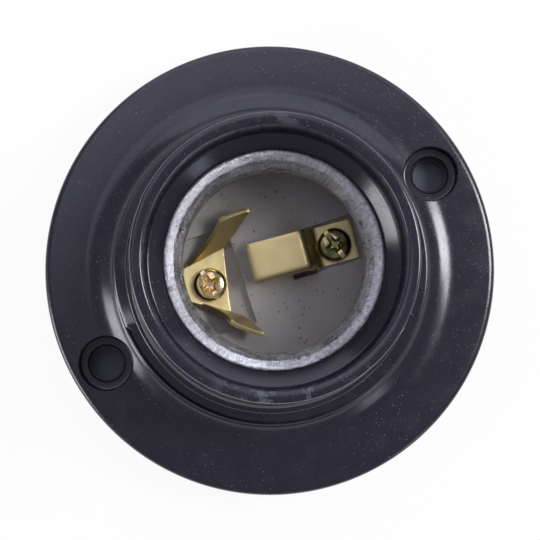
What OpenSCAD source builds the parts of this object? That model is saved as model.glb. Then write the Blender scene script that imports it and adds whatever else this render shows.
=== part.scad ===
// Wall lamp holder with an E27 screw shell.
// The back of the flange lies on z = 0, the lamp axis is +Z, and the two fixing holes lie on X.
// Widths are built outwards from the lamp thread, and heights upwards from the wall.

/* [Screw shell] */
// Pitch of the E27 lamp thread
lamp_pitch = 3.629;
// Inner diameter at the crests of the lamp thread
lamp_crest_d = 24.3; // [24.2:0.05:24.4]
// Depth of the lamp thread from crest to root
lamp_thread_depth = 1.15; // [1.1:0.05:1.2]
// Thickness of the shell's sheet
shell_t = 0.42; // [0.3:0.02:0.5]
// Width of the rolled rim beyond the shell's wall
shell_rim_w = 0.88; // [0.7:0.02:1]
// Height of the rolled rim
shell_rim_h = 1; // [0.8:0.1:1.2]
// Width of the flare at the shell's lower edge
shell_flare_w = 0.8; // [0.6:0.1:1]
// Length of the shell from its rim to its lower edge
shell_l = 13; // [12:0.1:14]
// Clearance around the shell in the barrel
shell_gap = 0.2; // [0.15:0.05:0.3]
// Clearance around the shell's flare
flare_gap = 0.38; // [0.3:0.02:0.5]

/* [Insert] */
// Clearance around the insert in the barrel
insert_gap = 0.3; // [0.25:0.05:0.4]
// Width of the shoulder that the barrel holds down
insert_shoulder_w = 2.1; // [1.8:0.1:2.4]
// Height of the insert's body below its shoulder
insert_body_h = 16; // [15:0.1:17]
// Height of the insert's upper part
insert_neck_h = 5; // [4.6:0.1:6]
// Depth of the recesses for the two contacts
contact_recess = 1.5; // [1:0.1:2]
// Turn of the contact axis from the fixing holes
contact_turn = -12.45; // [-30:0.05:30]
// Distance of each contact screw from the side of the insert's upper part
contact_inset = 5.8; // [5.4:0.1:6.2]
// Thickness of the ceramic between the contacts and the terminal chambers
chamber_roof = 4.5; // [3.6:0.1:5.4]
// Height of the shell's lower edge above the insert's face
shell_lift = 4.5; // [3.6:0.1:5.4]

/* [Barrel] */
// Wall between the insert's bore and the root of the barrel's thread
barrel_wall = 1.5; // [1.2:0.1:1.8]
// Clearance between the barrel's lower end and the shelf
barrel_end_gap = 0.6; // [0.4:0.1:1]
// Clearance between the foot ring and the collar
seat_gap = 0.1; // [0.05:0.05:0.3]
// Width of the foot ring beyond the thread's crest
foot_ring_w = 1.1; // [0.8:0.1:1.4]
// Height of the ring at the barrel's foot
foot_ring_h = 1.9; // [1.2:0.1:2.6]
// Width of the step above the foot ring
foot_step_w = 0.7; // [0.4:0.1:1]
// Width of the fine step round the barrel
fine_step_w = 0.5; // [0.3:0.1:0.6]
// Height of the fine step above the foot ring's seat
fine_step_h = 9.5; // [7:0.1:14]
// Taper of the barrel's radius from the fine step to the lip
barrel_taper = 0.8; // [0.4:0.1:1]
// Width of the lip
lip_w = 1.55; // [1.3:0.05:1.8]
// Radius of the lip's outer edge
lip_edge_r = 0.5; // [0.3:0.1:0.9]
// Taper of the mouth's radius from the lip to the bevel
mouth_taper = 0.65; // [0.4:0.05:0.9]
// Depth from the lip to the outer edge of the bevel
bevel_depth = 9; // [8:0.1:10]
// Height of the bevel
bevel_h = 1.6; // [1:0.1:2.4]
// Depth of the shell's rim below the inner edge of the bevel
rim_drop = 0.2; // [0.1:0.1:0.6]
// Height of the small moulded lug beside the lip
lug_h = 2; // [1.2:0.1:2.6]
// Height of the lug's tip beyond the barrel
lug_out = 0.65; // [0.4:0.05:0.8]

/* [Barrel thread] */
// Pitch of the thread that joins barrel and base
barrel_pitch = 3; // [2.5:0.1:3.5]
// Depth of that thread from crest to root
barrel_thread_depth = 0.9; // [0.6:0.1:1]
// Radial clearance of that thread
thread_gap = 0.35; // [0.3:0.05:0.4]

/* [Base] */
// Height of the flange above the wall
flange_h = 8.5; // [7.5:0.1:9.5]
// Radius of the flange's top edge
flange_edge_r = 0.7; // [0.4:0.1:1.2]
// Thickness of the flange plate over the hollow back
flange_plate_t = 3.5; // [2.8:0.1:4]
// Thickness of the flange's outer rim at the back
rim_wall = 2.7; // [2:0.1:3.2]
// Width of the flange's flat ring
flat_w = 6.7; // [6:0.1:9]
// Width of the cove between the flat and the collar
cove_w = 3.6; // [3:0.1:4.2]
// Height of the cove
cove_h = 4.2; // [3.4:0.1:6]
// Wall of the collar outside its thread
collar_wall = 2.45; // [2.2:0.05:2.8]
// Height of the collar's top face above the wall
collar_h = 18.2; // [17.6:0.1:19.2]
// Radius of the collar's top edge
collar_edge_r = 0.8; // [0.4:0.1:1]
// Height of the shelf's top face above the wall
shelf_z = 11; // [10.6:0.1:11.4]
// Thickness of the shelf that carries the insert
shelf_t = 2.6; // [2:0.1:3]
// Width of the shelf under the insert's edge
shelf_w = 1.7; // [1.2:0.1:2.4]

/* [Fixing holes] */
// Distance of each fixing hole from the flange's edge
fixing_inset = 5.35; // [5.2:0.05:5.6]
// Diameter of the counterbore for the screw head
counterbore_d = 8; // [7:0.1:8.4]
// Depth of the counterbore
counterbore_depth = 3.2; // [2:0.1:4]
// Diameter of the hole for the screw
fixing_hole_d = 5.2; // [4.8:0.1:6]
// Diameter of the narrow end of the hole at the wall
fixing_end_d = 4.5; // [3.6:0.1:4.6]
// Length of the narrow end of the hole
fixing_end_l = 2; // [1:0.1:3]
// Wall around each fixing hole under the flange
boss_wall = 2.2; // [1.6:0.1:2.4]

/* [Contacts] */
// Thickness of the contact strip
strip_t = 0.5; // [0.4:0.05:0.6]
// Width of the centre contact
tongue_w = 5.4; // [4.8:0.1:5.6]
// Height of the centre contact above the insert's face
tongue_rise = 4.6; // [3.6:0.1:5.4]
// Reach of the centre contact from its screw to its free end
tongue_reach = 11.6; // [11:0.1:12.2]
// Turn of the centre contact about its screw
tongue_turn = -2.9; // [-3:0.1:3]
// Turn of the side contact about its screw
side_turn = -12.6; // [-14:0.1:0]

/* [Screws and terminals] */
// Head diameter of the contact screws
contact_head_d = 4.6; // [4.2:0.1:5]
// Head height of the contact screws
contact_head_h = 1.9; // [1.6:0.1:2.2]
// Shank diameter of the contact screws
contact_shank_d = 2.9; // [2.7:0.05:3]
// Height of the terminal blocks
terminal_h = 5; // [4.5:0.1:5.5]
// Distance from the contact screw to the terminal screw
terminal_offset = 6; // [5.6:0.1:6.2]
// Head diameter of the terminal screws
terminal_head_d = 6; // [5.6:0.1:6.2]
// Head height of the terminal screws
terminal_head_h = 2.2; // [1.8:0.1:2.6]
// Shank diameter of the terminal screws
terminal_shank_d = 3.4; // [3.2:0.05:3.5]
// Thickness of the clamp washers
washer_t = 0.8; // [0.6:0.1:1]

/* [Hidden] */
$fn = 72;
eps = 0.5;

phenolic = "#17171b";
plated_steel = "#b9bcc2";
fired_clay = "#a9a8a6";
sheet_brass = "#c9b06a";
yellow_zinc = "#b7a14c";

// Radii, from the lamp thread outwards
lamp_amp = lamp_thread_depth / 2;
lamp_mean_r = lamp_crest_d / 2 + lamp_amp;
shell_wall_r = lamp_mean_r + lamp_amp + shell_t;
shell_rim_r = shell_wall_r + shell_rim_w;
rim_bore_r = shell_rim_r + shell_gap;
shell_bore_r = shell_wall_r + shell_gap;
shell_flare_r = shell_bore_r + shell_flare_w;
insert_top_bore_r = shell_flare_r + flare_gap;
insert_top_r = insert_top_bore_r - insert_gap;
insert_r = insert_top_r + insert_shoulder_w;
insert_bore_r = insert_r + insert_gap;
thread_amp = barrel_thread_depth / 2;
barrel_thread_r = insert_bore_r + barrel_wall + thread_amp;
foot_ring_r = barrel_thread_r + thread_amp + foot_ring_w;
barrel_foot_r = foot_ring_r - foot_step_w;
fine_step_r = barrel_foot_r - fine_step_w;
lip_r = fine_step_r - barrel_taper;
mouth_r = lip_r - lip_w;
bevel_r = mouth_r - mouth_taper;
collar_bore_r = barrel_thread_r + thread_gap;
collar_r = collar_bore_r + thread_amp + collar_wall;
cove_foot_r = collar_r + cove_w;
flange_r = cove_foot_r + flat_w;
fixing_r = flange_r - fixing_inset;
shelf_hole_r = insert_r - shelf_w;
boss_r = fixing_hole_d / 2 + boss_wall;

// Places along the lamp axis, from the wall upwards
insert_shoulder_z = shelf_z + insert_body_h;
insert_face_z = insert_shoulder_z + insert_neck_h;
contact_seat_z = insert_face_z - contact_recess;
chamber_top_z = contact_seat_z - chamber_roof;
block_z = chamber_top_z - terminal_h;
shell_end_z = insert_face_z + shell_lift;
flare_seat_z = shell_end_z + shell_t + 0.05;
rim_top_z = shell_end_z + shell_l;
rim_seat_z = rim_top_z - shell_rim_h;
bevel_low_z = rim_top_z + rim_drop;
bevel_top_z = bevel_low_z + bevel_h;
overall_h = bevel_top_z + bevel_depth;
foot_z = collar_h + seat_gap;
fine_step_z = foot_z + fine_step_h;
barrel_end_z = shelf_z + barrel_end_gap;

// Outline resolution
thread_steps = 48;
rows_per_turn = 8;

// Sizes of the key that stops the insert from turning
key_w = 3;
key_h = 1.4;
key_gap = 0.25;

// Where the lug beside the lip starts, and how far round it rises to its tip
lug_turn = 297.7;
lug_span = 10;

// Contact screws, and the recesses in the insert's face, from the lamp axis
contact_u = insert_top_r - contact_inset;
centre_recess_u = contact_u - 6.75;
centre_recess_v = [-2.95, 3.4];
centre_well_u = contact_u - 3.4;
centre_well_depth = 5;
side_pocket_u = contact_u - 4.55;
side_pocket_v = 6.9;

// Clamp washer, terminal block and chamber, seen along the lamp axis with the contact screw at the origin
washer_w = terminal_head_d + 0.2;
washer_gap = 0.1;
block_half_w = washer_w / 2 + 0.3;
block_far = terminal_offset + washer_w / 2 + 0.1;
chamber_play = 0.3;
contact_shank_l = strip_t + chamber_roof + terminal_h - 1.5;

// Slots of the screws: each one's direction, and the sizes of slot and cross recess
centre_screw_turn = 108.7;
side_screw_turn = -77;
terminal_screw_turns = [20, 65];
slot_w = 0.84;
slot_depth = 0.8;
cross_l = 2.7;
cross_depth = 1.3;
head_crown = 0.7;

// Side view of the centre contact: distances from its screw, and radii of its bends
tongue_foot_l = 3;
tongue_riser = [2.6, 4.9];
tongue_bend_r = 0.6;
tongue_crown_r = 0.9;
tongue_curl_r = 2.4;

// Side contact: the plate's outline, and each wing between its two rails of [along, across, up] points
side_plate = [[-3.1, 3], [2.7, 5.3], [2.7, -4.7], [-2.2, -2.7], [-3.1, -1.6]];
upper_wing = [[[-2.8, 2.9, 0], [-0.7, 4.5, 1.6], [1.7, 7.1, 4], [2.4, 8.2, 5.5]],
              [[2.6, 5.1, 0], [3.2, 5.9, 1.6], [4.7, 7.6, 3.8], [6.3, 9.3, 6]]];
lower_wing = [[[-2, -2.6, 0], [0.6, -4, 1.6], [1.6, -4.9, 4], [2.2, -5.6, 5.5]],
              [[2.6, -4.5, 0], [3.5, -5, 1.6], [4.7, -5.6, 3.4], [7, -7.8, 6]]];

function arc(cx, cz, rx, rz, a0, a1, n) =
    [for (i = [0:n]) let (a = a0 + (a1 - a0) * i / n) [cx + rx * cos(a), cz + rz * sin(a)]];

// Radius of a helical wave: a right-hand thread whose crest climbs one pitch a turn
function wave(z, angle, pitch) = cos(360 * z / pitch - angle);

// Share of the full thread depth at height z, fading to nothing at both ends
function fade(z, low, high, run) = max(0, min(1, (z - low) / run, (high - z) / run));

// Direction across a path at point i, turned left
function across(path, i) =
    let (a = path[max(0, i - 1)], b = path[min(len(path) - 1, i + 1)], d = b - a)
    [-d[1], d[0]] / norm(d);

// Outline of a strip of thickness t along a path
function strip(path, t) = concat(
    [for (i = [0:len(path) - 1]) path[i] + across(path, i) * t / 2],
    [for (i = [len(path) - 1:-1:0]) path[i] - across(path, i) * t / 2]);

// Solid core with a helical wave on its side, in step with every other core of its pitch
module threaded_core(r, amp, pitch, low, high) {
    rows = ceil((high - low) / pitch * rows_per_turn);
    points = [for (k = [0:rows], j = [0:thread_steps - 1])
        let (z = low + (high - low) * k / rows, a = 360 * j / thread_steps,
             q = r + amp * wave(z, a, pitch))
        [q * cos(a), q * sin(a), z]];
    sides = [for (k = [0:rows - 1], j = [0:thread_steps - 1])
        let (n = (j + 1) % thread_steps, a = k * thread_steps + j, b = k * thread_steps + n,
             c = b + thread_steps, d = a + thread_steps)
        each [[a, c, b], [a, d, c]]];
    bottom = [[for (j = [0:thread_steps - 1]) j]];
    top = [[for (j = [thread_steps - 1:-1:0]) rows * thread_steps + j]];
    polyhedron(points, concat(sides, bottom, top), convexity = 6);
}

// Closed ring swept round the lamp axis from a loop of [radius, height, wave depth]
module waved_ring(loop, pitch) {
    n = len(loop);
    points = [for (j = [0:thread_steps - 1], p = loop)
        let (a = 360 * j / thread_steps, q = p[0] + p[2] * wave(p[1], a, pitch))
        [q * cos(a), q * sin(a), p[1]]];
    faces = [for (j = [0:thread_steps - 1], i = [0:n - 1])
        let (m = (j + 1) % thread_steps, h = (i + 1) % n,
             a = j * n + i, b = j * n + h, c = m * n + h, d = m * n + i)
        each [[a, b, c], [a, c, d]]];
    polyhedron(points, faces, convexity = 6);
}

// Places a child at a contact screw: side = 1 for the centre contact, -1 for the side contact
module at_contact(side) {
    rotate([0, 0, contact_turn + (side > 0 ? 0 : 180)])
        translate([contact_u, 0, 0])
            children();
}

module fixing_bosses() {
    for (side = [-1, 1])
        translate([side * fixing_r, 0, 0])
            cylinder(r = boss_r, h = flange_h - 1);
}

module fixing_holes() {
    for (side = [-1, 1])
        translate([side * fixing_r, 0, 0]) {
            translate([0, 0, -eps])
                cylinder(d = fixing_end_d, h = flange_h);
            translate([0, 0, fixing_end_l])
                cylinder(d = fixing_hole_d, h = flange_h);
            translate([0, 0, flange_h - counterbore_depth])
                cylinder(d = counterbore_d, h = flange_h);
        }
}

module insert_keys(extra, h) {
    rotate([0, 0, contact_turn])
        translate([-key_w / 2 - extra, -insert_r - extra, 0])
            cube([key_w + 2 * extra, 2 * (insert_r + extra), h + extra]);
}

module base_shell() {
    plate_z = flange_h - flange_plate_t;
    shelf_low = shelf_z - shelf_t;
    rotate_extrude()
        polygon(concat(
            [[shelf_hole_r, shelf_low], [shelf_hole_r + 3.2, shelf_low],
             [cove_foot_r - 4, plate_z], [flange_r - rim_wall, plate_z],
             [flange_r - rim_wall, 0], [flange_r, 0]],
            arc(flange_r - flange_edge_r, flange_h - flange_edge_r, flange_edge_r, flange_edge_r, 0, 90, 6),
            arc(cove_foot_r, flange_h + cove_h, cove_w, cove_h, -90, -180, 12),
            arc(collar_r - collar_edge_r, collar_h - collar_edge_r, collar_edge_r, collar_edge_r, 0, 90, 5),
            [[shelf_hole_r, collar_h]]));
}

// Space that the barrel's thread turns in, from the shelf to past the collar
module collar_thread() {
    threaded_core(collar_bore_r, thread_amp, barrel_pitch, shelf_z, collar_h + eps);
}

module base() {
    color(phenolic) {
        difference() {
            union() {
                base_shell();
                intersection() {
                    fixing_bosses();
                    cylinder(r = flange_r - 0.2, h = flange_h);
                }
            }
            fixing_holes();
            collar_thread();
        }
        intersection() {
            translate([0, 0, shelf_z - eps])
                insert_keys(0, key_h + eps);
            difference() {
                translate([0, 0, shelf_z - eps])
                    cylinder(r = insert_r - 0.2, h = key_h + eps);
                cylinder(r = shelf_hole_r, h = collar_h);
            }
        }
    }
}

// The barrel's outside above the collar
module barrel_body() {
    rotate_extrude()
        polygon(concat(
            [[0, foot_z], [foot_ring_r, foot_z], [foot_ring_r, foot_z + foot_ring_h - 0.5],
             [foot_ring_r - 0.3, foot_z + foot_ring_h], [barrel_foot_r, foot_z + foot_ring_h],
             [barrel_foot_r - 0.2, fine_step_z - 0.3], [fine_step_r, fine_step_z]],
            arc(lip_r - lip_edge_r, overall_h - lip_edge_r, lip_edge_r, lip_edge_r, 0, 75, 4),
            [[mouth_r + 0.25, overall_h], [0, overall_h]]));
}

// Small lug beside the lip, a wedge that rises round the barrel and ends in a step
module lip_lug() {
    steps = 6;
    translate([0, 0, overall_h - 1.4 - lug_h])
        linear_extrude(lug_h)
            polygon(concat(
                [for (i = [0:steps]) let (a = lug_turn + lug_span * i / steps, q = lip_r + lug_out * i / steps)
                    [q * cos(a), q * sin(a)]],
                [for (i = [steps:-1:0]) let (a = lug_turn + lug_span * i / steps, q = mouth_r + lip_w / 2)
                    [q * cos(a), q * sin(a)]]));
}

// Everything inside the barrel: the insert's seat, the shell's seat, the bevel and the mouth
module barrel_bore() {
    rotate_extrude()
        polygon([[0, barrel_end_z - eps], [insert_bore_r, barrel_end_z - eps],
                 [insert_bore_r, insert_shoulder_z + insert_gap],
                 [insert_top_bore_r, insert_shoulder_z + insert_gap],
                 [insert_top_bore_r, flare_seat_z], [shell_bore_r, flare_seat_z],
                 [shell_bore_r, rim_seat_z - 0.05], [rim_bore_r, rim_seat_z - 0.05],
                 [rim_bore_r, bevel_low_z], [bevel_r, bevel_top_z], [bevel_r + 0.25, bevel_top_z],
                 [mouth_r, overall_h - 0.3], [mouth_r + 0.25, overall_h],
                 [mouth_r + 0.25, overall_h + eps], [0, overall_h + eps]]);
}

module barrel() {
    color(phenolic)
        difference() {
            union() {
                barrel_body();
                lip_lug();
                threaded_core(barrel_thread_r, thread_amp, barrel_pitch, barrel_end_z, foot_z);
            }
            barrel_bore();
        }
}

module screw_shell() {
    low = shell_end_z + 1.2;
    high = rim_seat_z - 0.1;
    rows = ceil((high - low) / lamp_pitch * rows_per_turn);
    inner = [for (k = [0:rows])
        let (z = low + (high - low) * k / rows) [lamp_mean_r, z, lamp_amp * fade(z, low, high, 1.2)]];
    outer = [for (k = [rows:-1:0]) [inner[k][0] + shell_t, inner[k][1], inner[k][2]]];
    rim = [for (p = arc(shell_rim_r - 0.75, rim_top_z - 0.5, 0.75, 0.5, 180, 0, 8)) [p[0], p[1], 0]];
    color(plated_steel)
        waved_ring(concat(
            [[shell_flare_r, shell_end_z, 0], [lamp_mean_r + 0.3, shell_end_z, 0],
             [lamp_mean_r, shell_end_z + 0.4, 0]],
            inner, [[lamp_mean_r + 0.25, rim_top_z - 0.8, 0]], rim,
            [[shell_rim_r, rim_seat_z, 0], [lamp_mean_r + shell_t + 0.1, rim_seat_z, 0]],
            outer,
            [[lamp_mean_r + shell_t, shell_end_z + 0.7, 0],
             [lamp_mean_r + shell_t + 0.2, shell_end_z + shell_t, 0],
             [shell_flare_r, shell_end_z + shell_t, 0]]), lamp_pitch);
}

// Space for one terminal block and its wire, open to the back
module terminal_chamber() {
    half = block_half_w + chamber_play;
    translate([-half, -half, shelf_z - eps])
        cube([2 * half, half + block_far + chamber_play, chamber_top_z - shelf_z + eps]);
}

module ceramic_insert() {
    color(fired_clay)
        difference() {
            union() {
                translate([0, 0, shelf_z])
                    cylinder(r = insert_r, h = insert_shoulder_z - shelf_z);
                translate([0, 0, shelf_z + 1])
                    cylinder(r = insert_top_r, h = insert_face_z - shelf_z - 1);
            }
            translate([0, 0, shelf_z - eps])
                insert_keys(key_gap, key_h + eps);
            for (side = [-1, 1])
                at_contact(side) {
                    terminal_chamber();
                    cylinder(d = contact_shank_d + 0.5, h = insert_face_z + eps);
                }
            rotate([0, 0, contact_turn]) {
                translate([centre_well_u, centre_recess_v[0], contact_seat_z])
                    cube([insert_r, centre_recess_v[1] - centre_recess_v[0], insert_face_z]);
                translate([centre_recess_u, centre_recess_v[0], insert_face_z - centre_well_depth])
                    cube([centre_well_u - centre_recess_u + 0.01,
                          centre_recess_v[1] - centre_recess_v[0], insert_face_z]);
                translate([-side_pocket_u - 2 * insert_r, -side_pocket_v, contact_seat_z])
                    cube([2 * insert_r, 2 * side_pocket_v, insert_face_z]);
            }
        }
}

module centre_contact() {
    foot = contact_seat_z + strip_t / 2;
    crown = insert_face_z + tongue_rise - strip_t / 2;
    path = concat(
        [[tongue_foot_l, foot]],
        arc(-tongue_riser[0], foot + tongue_bend_r, tongue_bend_r, tongue_bend_r, -90, -170, 4),
        arc(-tongue_riser[1], crown - tongue_crown_r, tongue_crown_r, tongue_crown_r, 10, 90, 5),
        arc(1 - tongue_reach, crown - tongue_curl_r, tongue_curl_r, tongue_curl_r, 90, 115, 4));
    color(sheet_brass)
        at_contact(1)
            rotate([0, 0, tongue_turn])
                difference() {
                    translate([0, tongue_w / 2, 0])
                        rotate([90, 0, 0])
                            linear_extrude(tongue_w)
                                polygon(strip(path, strip_t));
                    translate([0, 0, foot - 1])
                        cylinder(d = contact_shank_d + 0.1, h = 2);
                }
}

// Spring wing between its two rails, as thick as the strip
module wing(rails, outward) {
    n = len(rails[0]);
    shift = [-0.38, 0.92 * outward, 0] * strip_t;
    inner = [for (i = [0:n - 1]) each [rails[0][i], rails[1][i]]];
    points = concat(inner, [for (p = inner) p + shift]);
    m = 2 * n;
    skin = [for (i = [0:n - 2]) let (a = 2 * i) each [[a, a + 1, a + 3], [a, a + 3, a + 2]]];
    edge = concat([for (i = [0:n - 1]) 2 * i], [for (i = [n - 1:-1:0]) 2 * i + 1]);
    wall = [for (i = [0:m - 1])
        let (a = edge[i], b = edge[(i + 1) % m]) each [[a, b, b + m], [a, b + m, a + m]]];
    back = [for (f = skin) [f[0] + m, f[2] + m, f[1] + m]];
    faces = concat(skin, wall, back);
    polyhedron(points, outward < 0 ? faces : [for (f = faces) [f[0], f[2], f[1]]], convexity = 4);
}

module side_contact() {
    color(sheet_brass)
        at_contact(-1)
            rotate([0, 0, 180 + side_turn])
                translate([0, 0, contact_seat_z])
                    difference() {
                        union() {
                            linear_extrude(strip_t)
                                polygon(side_plate);
                            wing(upper_wing, 1);
                            wing(lower_wing, -1);
                        }
                        translate([0, 0, -1])
                            cylinder(d = contact_shank_d + 0.1, h = 3);
                    }
}

// Pan head with a slot across it and a cross recess in its middle
module recessed_head(d, h) {
    difference() {
        rotate_extrude()
            polygon(concat([[0, 0], [d / 2, 0]],
                           arc(d / 2 - head_crown, h - head_crown, head_crown, head_crown, 0, 70, 5),
                           [[0, h]]));
        translate([-d, -slot_w / 2, h - slot_depth])
            cube([2 * d, slot_w, h]);
        for (turn = [0, 90])
            rotate([0, 0, turn])
                translate([-cross_l / 2, -slot_w / 2 + 0.02, h - cross_depth])
                    cube([cross_l, slot_w - 0.04, h]);
    }
}

module contact_screw(side, turn) {
    color(yellow_zinc)
        at_contact(side)
            translate([0, 0, contact_seat_z + strip_t])
                rotate([0, 0, turn]) {
                    recessed_head(contact_head_d, contact_head_h);
                    translate([0, 0, -contact_shank_l])
                        cylinder(d = contact_shank_d, h = contact_shank_l + 0.1);
                }
}

module centre_contact_screw() {
    contact_screw(1, centre_screw_turn);
}

module side_contact_screw() {
    contact_screw(-1, side_screw_turn);
}

module terminal(side) {
    color(sheet_brass)
        at_contact(side)
            translate([0, 0, block_z])
                difference() {
                    translate([-block_half_w, -block_half_w, 0])
                        cube([2 * block_half_w, block_half_w + block_far, terminal_h]);
                    translate([0, 0, -eps])
                        cylinder(d = contact_shank_d + 0.1, h = terminal_h + 2 * eps);
                    translate([0, terminal_offset, -eps])
                        cylinder(d = terminal_shank_d + 0.1, h = terminal_h + 2 * eps);
                }
}

module centre_terminal() {
    terminal(1);
}

module side_terminal() {
    terminal(-1);
}

module clamp_washer(side) {
    color(plated_steel)
        at_contact(side)
            translate([0, terminal_offset, block_z - washer_t - washer_gap])
                difference() {
                    translate([-washer_w / 2, -washer_w / 2, 0])
                        cube([washer_w, washer_w, washer_t]);
                    translate([0, 0, -eps])
                        cylinder(d = terminal_shank_d + 0.2, h = washer_t + 2 * eps);
                }
}

module centre_clamp_washer() {
    clamp_washer(1);
}

module side_clamp_washer() {
    clamp_washer(-1);
}

module terminal_screw(side, turn) {
    color(yellow_zinc)
        at_contact(side)
            translate([0, terminal_offset, block_z - washer_t - 2 * washer_gap])
                rotate([0, 0, turn]) {
                    mirror([0, 0, 1])
                        recessed_head(terminal_head_d, terminal_head_h);
                    translate([0, 0, -0.1])
                        cylinder(d = terminal_shank_d, h = terminal_h + washer_t);
                }
}

module centre_terminal_screw() {
    terminal_screw(1, terminal_screw_turns[0]);
}

module side_terminal_screw() {
    terminal_screw(-1, terminal_screw_turns[1]);
}

base();
barrel();
screw_shell();
ceramic_insert();
centre_contact();
side_contact();
centre_contact_screw();
side_contact_screw();
centre_terminal();
side_terminal();
centre_clamp_washer();
side_clamp_washer();
centre_terminal_screw();
side_terminal_screw();
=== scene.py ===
"""A black wall lamp holder with a screw shell, seen from the front."""

import math

import bmesh
import bpy
from mathutils import Matrix, Vector


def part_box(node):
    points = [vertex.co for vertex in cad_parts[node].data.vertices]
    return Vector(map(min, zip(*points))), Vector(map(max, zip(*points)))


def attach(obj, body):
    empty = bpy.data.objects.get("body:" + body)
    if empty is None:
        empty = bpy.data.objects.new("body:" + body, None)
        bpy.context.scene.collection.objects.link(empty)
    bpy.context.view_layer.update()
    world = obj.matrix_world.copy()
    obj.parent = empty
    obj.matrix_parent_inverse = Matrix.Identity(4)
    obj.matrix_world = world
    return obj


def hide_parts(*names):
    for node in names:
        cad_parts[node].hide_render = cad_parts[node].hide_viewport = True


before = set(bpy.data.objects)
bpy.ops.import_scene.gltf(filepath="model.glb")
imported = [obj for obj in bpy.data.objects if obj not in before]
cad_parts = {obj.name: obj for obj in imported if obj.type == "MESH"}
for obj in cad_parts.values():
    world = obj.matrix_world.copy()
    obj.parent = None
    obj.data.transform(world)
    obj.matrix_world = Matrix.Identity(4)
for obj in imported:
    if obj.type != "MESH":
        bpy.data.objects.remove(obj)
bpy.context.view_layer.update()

MM = 0.001
TURN = math.tau

# Corners of the CAD solids, in millimetres
BASE_LOW, BASE_HIGH = (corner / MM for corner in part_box("base"))
BARREL_LOW, BARREL_HIGH = (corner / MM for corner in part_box("barrel"))
SHELL_LOW, SHELL_HIGH = (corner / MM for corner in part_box("screw_shell"))

# Sizes of the base
FLANGE_R = BASE_HIGH.x
FLANGE_H = 8.5
FLANGE_EDGE_R = 0.9
PLATE_Z = 5.0
RIM_IN_R = FLANGE_R - 2.7
COVE_FOOT_R = FLANGE_R - 6.7
COVE_W = 3.6
COVE_ROUND = 5.6
COLLAR_R = COVE_FOOT_R - COVE_W
COLLAR_H = BASE_HIGH.z
SHELF_Z = 11.0
SHELF_HOLE_R = 15.2
FIXING_R = FLANGE_R - 5.35
HOLE_SHIFT = (-0.05, 0.3, 0)

# Sizes of the barrel
OVERALL_H = BARREL_HIGH.z
BARREL_END_Z = BARREL_LOW.z
FOOT_Z = COLLAR_H + 0.1
FOOT_RING_R = 20.7
STEP_Z = FOOT_Z + 9.5
STEP_R = 19.5
LIP_R = 18.7
MOUTH_R = 17.15
BEVEL_R = 16.5
BEVEL_H = 1.2
INSERT_BORE_R = 17.2
RIM_BORE_R = 14.8
SHELL_BORE_R = 13.92

# The thread that joins barrel and base
BARREL_PITCH = 3.0
BARREL_THREAD_R = 19.15
BARREL_THREAD_AMP = 0.45
THREAD_GAP = 0.35

# Sizes of the screw shell
LAMP_PITCH = 3.629
LAMP_MEAN_R = 12.725
LAMP_AMP = 0.575
SHELL_T = 0.42
SHELL_TOP_Z = SHELL_HIGH.z
SHELL_END_Z = SHELL_LOW.z
SHELL_RIM_H = 1.0
SHELL_RIM_R = 14.6
SHELL_FLARE_R = 14.72

# Small moulded marks, by their angle round the lamp axis in degrees
LUG_START, LUG_END = 297.7, 307.7
KINK_START, KINK_END = 116.0, 126.5
COLLAR_STEP = 172.2

# Where the contacts lie: the turn of their axis and the distance of their screws
CONTACT_TURN = math.radians(-12.45)
CONTACT_U = 9.0
SEAT_Z = 30.5
STRIP_T = 0.5

# The camera: above the lower left of the holder, as the photograph shows it
PICTURE_TURN = math.radians(-30.3)
CAMERA_SHIFT = (-5.7, -13.4)
CAMERA_RISE = 430.0
LENS = 197.3


def rounded(corners, segments=5):
    """Outline through (radius, height, rounding) corners, each rounded by a short curve."""
    outline = []
    count = len(corners)
    for i, (x, z, rounding) in enumerate(corners):
        here = Vector((x, z))
        if not rounding:
            outline.append(here)
            continue
        before = Vector(corners[i - 1][:2]) - here
        after = Vector(corners[(i + 1) % count][:2]) - here
        reach = min(rounding, before.length * 0.48, after.length * 0.48)
        start = here + before.normalized() * reach
        end = here + after.normalized() * reach
        for k in range(segments + 1):
            t = k / segments
            outline.append(start * (1 - t) ** 2 + here * 2 * t * (1 - t) + end * t**2)
    return outline


def arc(cx, cz, rx, rz, start, end, count):
    """Points (radius, height, no rounding) along an elliptic arc, angles in degrees."""
    points = []
    for k in range(count + 1):
        a = math.radians(start + (end - start) * k / count)
        points.append((cx + rx * math.cos(a), cz + rz * math.sin(a), 0))
    return points


def wall(radius, low, high, rows):
    """Evenly spaced points up or down a straight wall, for a thread."""
    return [(radius, low + (high - low) * k / rows, 0) for k in range(rows + 1)]


def spun(outline, steps):
    """A bmesh of a closed outline turned once round the lamp axis."""
    bm = bmesh.new()
    verts = [bm.verts.new((p[0] * MM, 0, p[1] * MM)) for p in outline]
    edges = [bm.edges.new((verts[i - 1], verts[i])) for i in range(len(verts))]
    bmesh.ops.spin(bm, geom=verts + edges, cent=(0, 0, 0), axis=(0, 0, 1), angle=TURN,
                   steps=steps, use_merge=True)
    return bm


def shade(obj, angle=34):
    """Smooth shading that keeps the edges sharper than the angle."""
    obj.data.shade_smooth()
    obj.data.set_sharp_from_angle(angle=math.radians(angle))


def finished(name, bm, angle=34, merge=2e-7):
    """An object from a bmesh, with its doubles merged and its faces pointing outwards."""
    bmesh.ops.remove_doubles(bm, verts=bm.verts, dist=merge)
    bmesh.ops.recalc_face_normals(bm, faces=bm.faces)
    mesh = bpy.data.meshes.new(name)
    bm.to_mesh(mesh)
    bm.free()
    obj = bpy.data.objects.new(name, mesh)
    bpy.context.scene.collection.objects.link(obj)
    shade(obj, angle)
    return obj


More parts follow.
